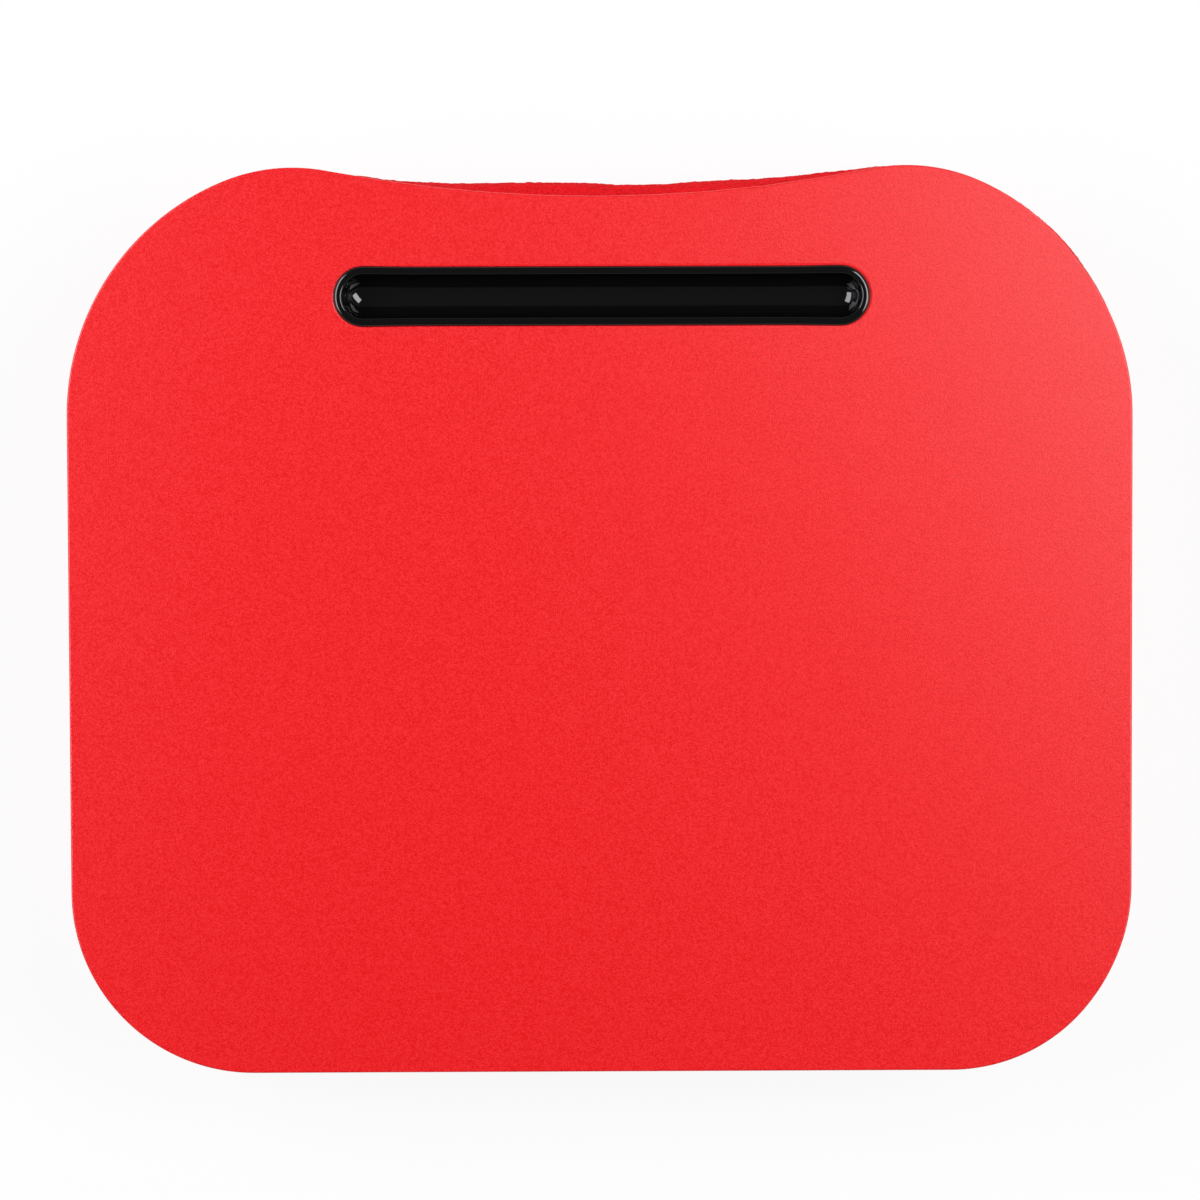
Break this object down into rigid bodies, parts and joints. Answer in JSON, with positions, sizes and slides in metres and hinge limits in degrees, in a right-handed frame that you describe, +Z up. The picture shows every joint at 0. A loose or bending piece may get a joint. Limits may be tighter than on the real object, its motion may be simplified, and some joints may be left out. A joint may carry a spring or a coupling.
{
  "type": "lap tray with cushion",
  "caption": "Foam-faced board with large round corners, a hollowed rear edge and a recessed pen tray, on a soft bead-filled fleece cushion.",
  "frame": {"origin": "on the surface that the cushion rests on, under the middle of the tray", "axes": "+X to the user's right along the tray's width, +Y away from the user to the hollowed rear edge with the pen tray, +Z up"},
  "size_m": [0.383, 0.3264, 0.0552],
  "materials": {
    "red_foam": "matte",
    "red_board": "satin",
    "black_gloss_plastic": "gloss",
    "red_fleece": "matte",
    "red_woven_fabric": "matte",
    "white_bag_fabric": "matte",
    "white_beads": "matte"
  },
  "bodies": {
    "root": {"face_sheet": "red_foam", "core_board": "red_board", "pen_tray": "black_gloss_plastic", "cushion_top_panel": "red_woven_fabric", "cushion_side_band": "red_fleece", "cushion_bottom_panel": "red_fleece", "bead_bag": "white_bag_fabric", "bead_fill": "white_beads"}
  },
  "joints": []
}
